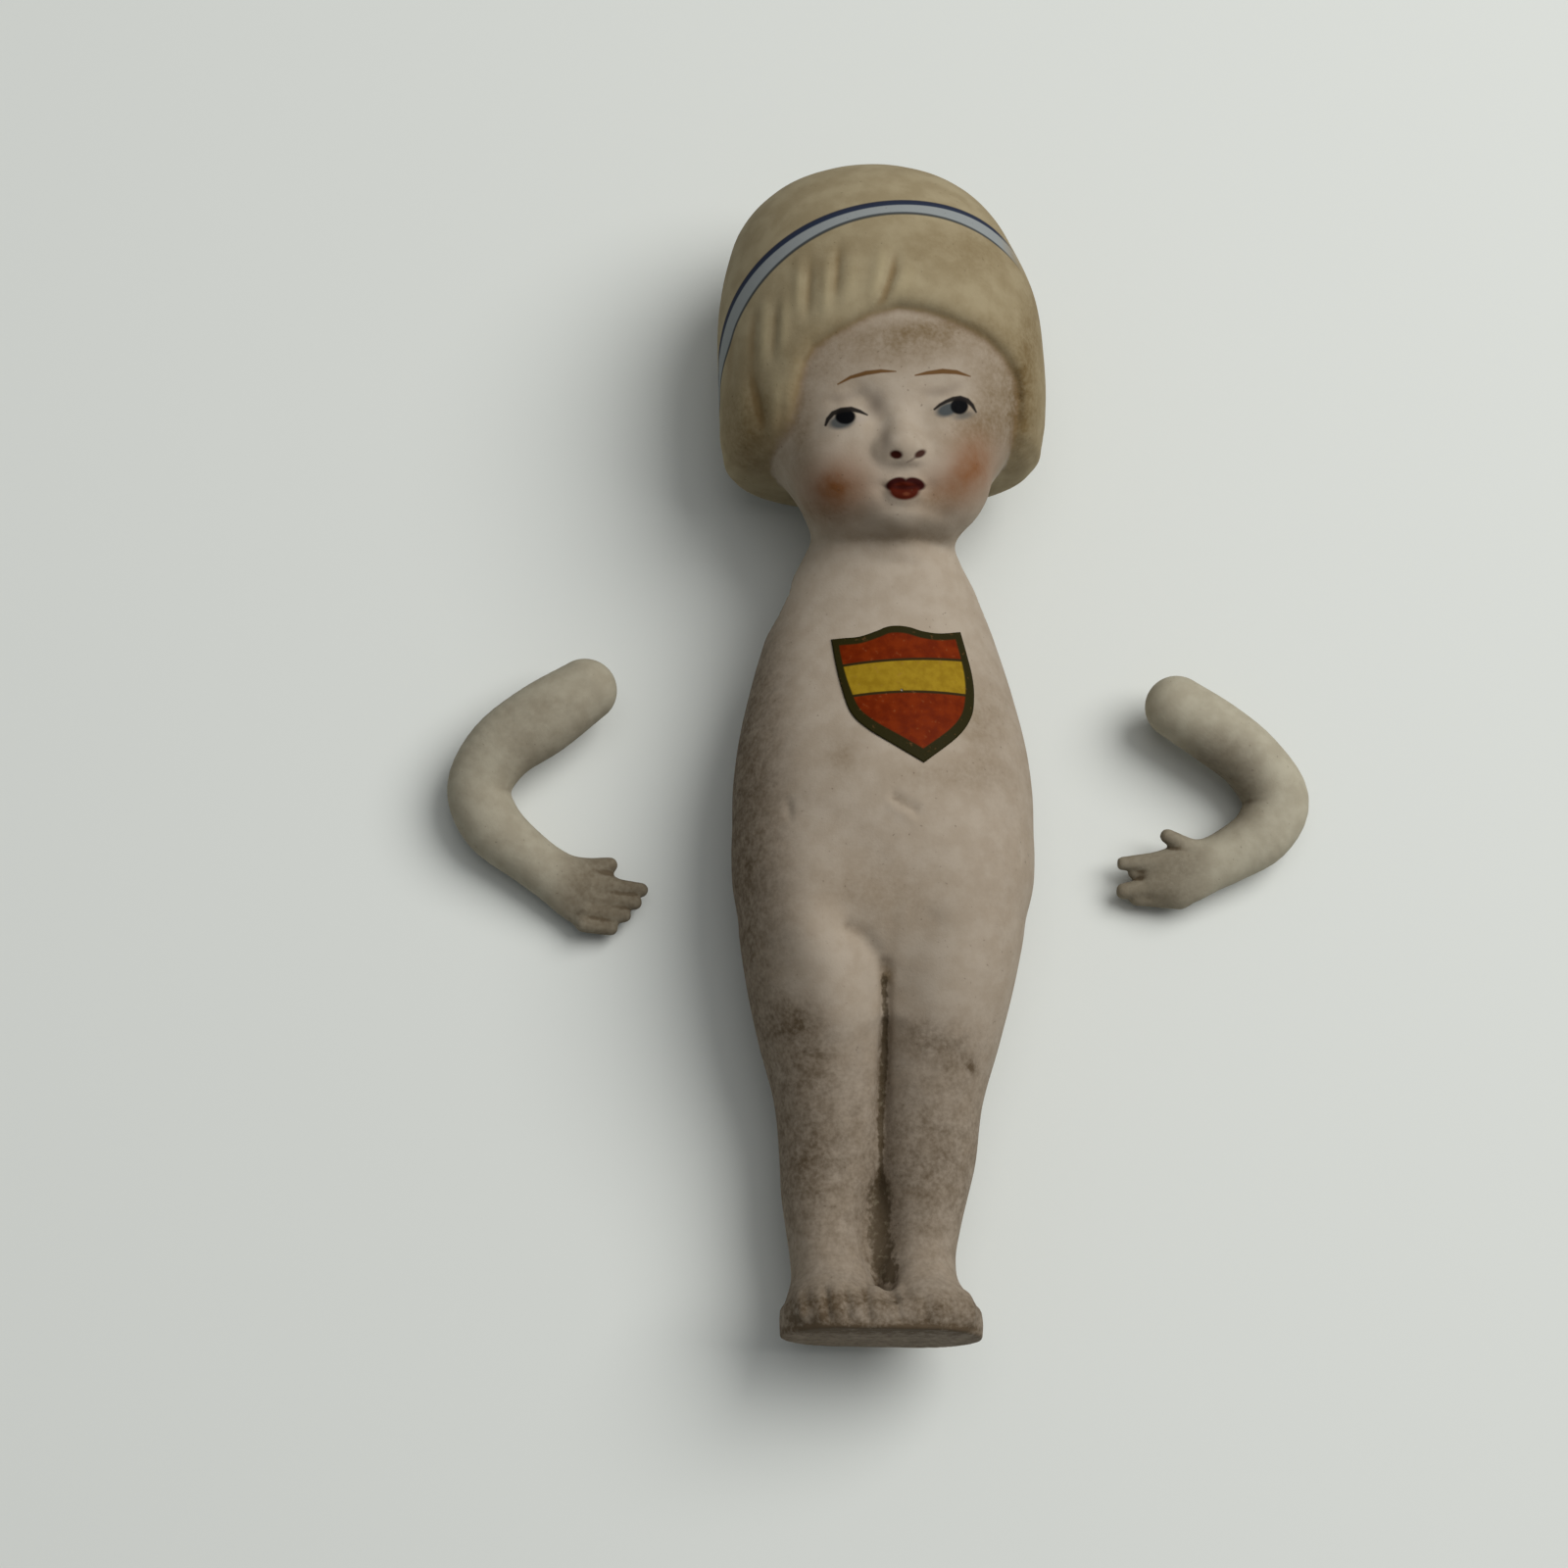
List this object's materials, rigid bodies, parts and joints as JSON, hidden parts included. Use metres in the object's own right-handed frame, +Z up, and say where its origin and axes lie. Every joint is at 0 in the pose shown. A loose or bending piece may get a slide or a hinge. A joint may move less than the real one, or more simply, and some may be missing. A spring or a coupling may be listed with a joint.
{
  "type": "miniature jointed bisque doll",
  "caption": "Miniature all-bisque doll with bobbed hair and frozen legs, lying on its back beside its two loose bent arms.",
  "frame": {"origin": "centre of the bottom of the group as it lies: the doll on its back and the two arms beside it", "axes": "+Y from the doll's feet to its crown, +Z up from the surface, out of the doll's face, +X to the doll's left"},
  "size_m": [0.0852, 0.1164, 0.0275],
  "materials": {
    "pink_bisque": "unglazed matt bisque, soiled, with painted hair, hairband and features",
    "grey_bisque": "unglazed matt bisque, soiled",
    "label_paper": "printed paper, worn"
  },
  "bodies": {
    "doll": {"body_casting": "pink_bisque", "chest_label": "label_paper"},
    "right_arm": {"right_arm": "grey_bisque"},
    "left_arm": {"left_arm": "grey_bisque"}
  },
  "joints": [
    {"name": "right_arm_swing", "type": "hinge", "parent": "doll", "child": "right_arm", "pos_m": [-0.02963, 0.00573, 0.001], "axis": [0, 0, 1], "range_deg": [-180, 30]},
    {"name": "left_arm_swing", "type": "hinge", "parent": "doll", "child": "left_arm", "pos_m": [0.02907, 0.00619, 0.001], "axis": [0, 0, 1], "range_deg": [-30, 180]}
  ]
}
